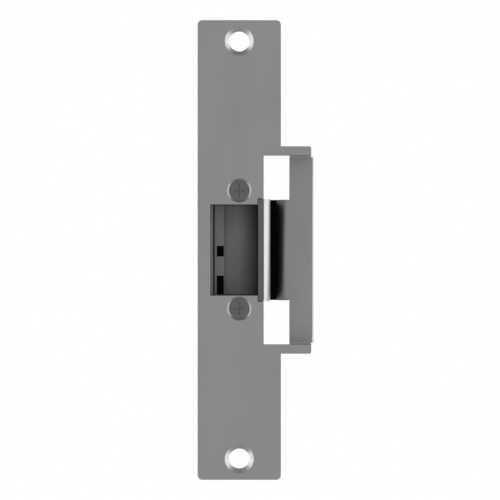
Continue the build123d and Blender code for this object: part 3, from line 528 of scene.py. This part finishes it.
bpy.ops.mesh.delete(type="ONLY_FACE")
bpy.ops.mesh.select_mode(type="EDGE")
bpy.ops.mesh.select_non_manifold(extend=False)
bpy.ops.mesh.bridge_edge_loops()
bpy.ops.mesh.select_all(action="SELECT")
bpy.ops.mesh.normals_make_consistent(inside=False)
bpy.ops.object.mode_set(mode="OBJECT")
for part, lift in ((turn, 0.41), (sleeve, 0.2)):
    part.location = (-0.5 * MM, 16.624 * MM, (-56.8 + lift) * MM)
    only(part)
    bpy.ops.object.transform_apply(location=True)
only(sleeve)
bpy.ops.object.shade_smooth_by_angle(angle=math.radians(40))
winding = join("wound_coil", [turn, sleeve])
finish_piece(winding, "strike_body", "coil_tape", "solenoid_coil")

# ---------------------------------------------------------------- springs
def wound_wire(name, wire, mean, rise, turns, base):
    """A round wire wound round Z, closed at both ends. Both radii, rise and base are in mm."""
    start_piece()
    bpy.ops.mesh.primitive_circle_add(vertices=12, radius=wire * MM,
                                      location=(mean * MM, 0, base * MM),
                                      rotation=(math.radians(90), 0, 0))
    coil = bpy.context.object
    coil.name = name
    bpy.ops.object.transform_apply(location=True, rotation=True)
    wind = coil.modifiers.new("wind", "SCREW")
    wind.angle = math.radians(360 * turns)
    wind.screw_offset = rise * MM
    wind.iterations = 1
    wind.steps = wind.render_steps = round(32 * turns)
    apply_modifiers(coil)
    bpy.ops.object.mode_set(mode="EDIT")
    bpy.ops.mesh.select_mode(type="VERT")
    bpy.ops.mesh.select_all(action="DESELECT")
    bpy.ops.mesh.select_non_manifold(extend=False)
    bpy.ops.mesh.fill_holes(sides=12)
    bpy.ops.mesh.select_all(action="SELECT")
    bpy.ops.mesh.normals_make_consistent(inside=False)
    bpy.ops.object.mode_set(mode="OBJECT")
    return coil


def draw_leg(coil, height, reach, climb):
    """Draw out the closed end of a wire that lies at one height into a straight leg, in mm."""
    only(coil)
    bpy.ops.object.mode_set(mode="EDIT")
    bpy.ops.mesh.select_mode(type="FACE")
    bpy.ops.mesh.select_all(action="DESELECT")
    bpy.ops.object.mode_set(mode="OBJECT")
    for face in coil.data.polygons:
        face.select = len(face.vertices) > 4 and abs(face.center.z - height * MM) < 0.05 * MM
    bpy.ops.object.mode_set(mode="EDIT")
    bpy.ops.mesh.extrude_region_move(TRANSFORM_OT_translate={"value": (0, reach * MM, climb * MM)})
    bpy.ops.object.mode_set(mode="OBJECT")


def settle(coil, x, y, turn):
    """Turn a spring about Z and bake it at its place, in mm."""
    coil.rotation_euler = (0, 0, math.radians(turn))
    coil.location = (x * MM, y * MM, 0)
    only(coil)
    bpy.ops.object.transform_apply(location=True, rotation=True)
    bpy.ops.object.shade_smooth_by_angle(angle=math.radians(50))


# 0.4 mm compression spring between the solenoid and the plunger's clip: it closes as the
# plunger goes down.
plunger_coil = wound_wire("plunger_return_spring", 0.2, 4.05, 3.76, 2.5, -34.98)
settle(plunger_coil, -0.5, 16.626, 0)
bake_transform(plunger_coil)
finish_piece(plunger_coil, None, "spring_steel", "plunger_spring")

# 0.8 mm torsion spring round the keeper's pin: the upper leg bears on the case, the lower one
# on the keeper, and its turns wind up between them.
keeper_coil_foot, keeper_coil_rise = 13.18, 4.8
leg_reach, leg_climb = 9.0, 0.55
keeper_coil = wound_wire("keeper_torsion_spring", 0.4, 2.5, keeper_coil_rise, 5, keeper_coil_foot)
draw_leg(keeper_coil, keeper_coil_foot, -leg_reach, -leg_climb)
draw_leg(keeper_coil, keeper_coil_foot + keeper_coil_rise, leg_reach, leg_climb)
settle(keeper_coil, 2.0, 24.0, 90)
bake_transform(keeper_coil)
finish_piece(keeper_coil, None, "spring_steel", "keeper_spring")

# ---------------------------------------------------------------- broken edges
# Every cut or cast edge is broken a little, as deburring and tumbling leave it (widths in mm).
broken_edges = {
    "housing": 0.3, "rear_cover": 0.15, "keeper_jaw": 0.15, "lip_plate": 0.12,
    "solenoid_frame": 0.15, "solenoid_bobbin": 0.12, "circuit_board": 0.06, "rectifier": 0.12,
    "terminal_block": 0.12, "locking_lever": 0.12, "slot_blank": 0.12, "plunger_clip": 0.06,
}
for node_name, width in broken_edges.items():
    shell = nodes[node_name]
    weld = shell.modifiers.new("weld", "WELD")
    weld.merge_threshold = 0.002 * MM
    facets = shell.modifiers.new("facets", "DECIMATE")
    facets.decimate_type = "DISSOLVE"
    facets.angle_limit = math.radians(0.5)
    edge = shell.modifiers.new("edge", "BEVEL")
    edge.width = width * MM
    edge.segments = 2
    edge.limit_method = "ANGLE"
    edge.angle_limit = math.radians(32)
    edge.use_clamp_overlap = True
    edge.harden_normals = True

# ---------------------------------------------------------------- stage, light and camera
bpy.ops.object.select_all(action="DESELECT")
bpy.ops.mesh.primitive_plane_add(size=5, location=(0, 0, -0.6))
floor = bpy.context.object
floor.name = "studio_floor"
floor.visible_glossy = False
floor.visible_diffuse = False
floor_paint, _, floor_surface = new_material("white_paper", "#FFFFFF", 0.0, 0.9)
floor_surface.inputs["Emission Color"].default_value = (1, 1, 1, 1)
floor_surface.inputs["Emission Strength"].default_value = 0.35
floor.data.materials.append(floor_paint)

world = bpy.data.worlds.new("light_tent")
bpy.context.scene.world = world
world.use_nodes = True
sky = world.node_tree
sky.nodes.clear()
# The tent: bright side walls, a white back, a grey front behind the lens, and a dark top and base.
front_level, back_level, side_level = 0.54, 0.95, 1.95
top_level, base_level = 0.1, 0.34
way = add_node(sky, "ShaderNodeTexCoord")
axes = add_node(sky, "ShaderNodeSeparateXYZ", {"Vector": way.outputs["Generated"]})
aside = add_node(sky, "ShaderNodeMath", {0: axes.outputs["X"]}, operation="ABSOLUTE")


def blend_to(value, start, end, low, target):
    """Ease from one brightness to another as a direction passes from start to end."""
    ease = add_node(sky, "ShaderNodeMapRange",
                    {"Value": value, "From Min": start, "From Max": end},
                    interpolation_type="SMOOTHSTEP")
    mix = add_node(sky, "ShaderNodeMix", {"Factor": ease.outputs[0], "A": low, "B": target})
    return mix.outputs["Result"]


depth_level = blend_to(axes.outputs["Y"], -0.3, 0.3, front_level, back_level)
wall_level = blend_to(aside.outputs[0], 0.6, 0.85, depth_level, side_level)
roof_level = blend_to(axes.outputs["Z"], 0.45, 0.75, wall_level, top_level)
level = blend_to(axes.outputs["Z"], -0.45, -0.75, roof_level, base_level)
tent = add_node(sky, "ShaderNodeBackground", {"Color": (1, 1, 1, 1), "Strength": level})
paper = add_node(sky, "ShaderNodeBackground", {"Color": (1, 1, 1, 1), "Strength": 1.0})
ray = add_node(sky, "ShaderNodeLightPath")
seen = add_node(sky, "ShaderNodeMixShader",
                {0: ray.outputs["Is Camera Ray"], 1: tent.outputs[0], 2: paper.outputs[0]})
add_node(sky, "ShaderNodeOutputWorld", {"Surface": seen.outputs[0]})

bpy.context.scene.view_settings.view_transform = "Standard"

lens = bpy.data.cameras.new("camera")
camera = bpy.data.objects.new("camera", lens)
bpy.context.scene.collection.objects.link(camera)
camera.location = (0.00408, -0.965, 0)
camera.rotation_euler = (math.radians(90), 0, 0)
lens.lens = 182.9
lens.sensor_width = 36
lens.clip_start, lens.clip_end = 0.01, 20
bpy.context.scene.camera = camera
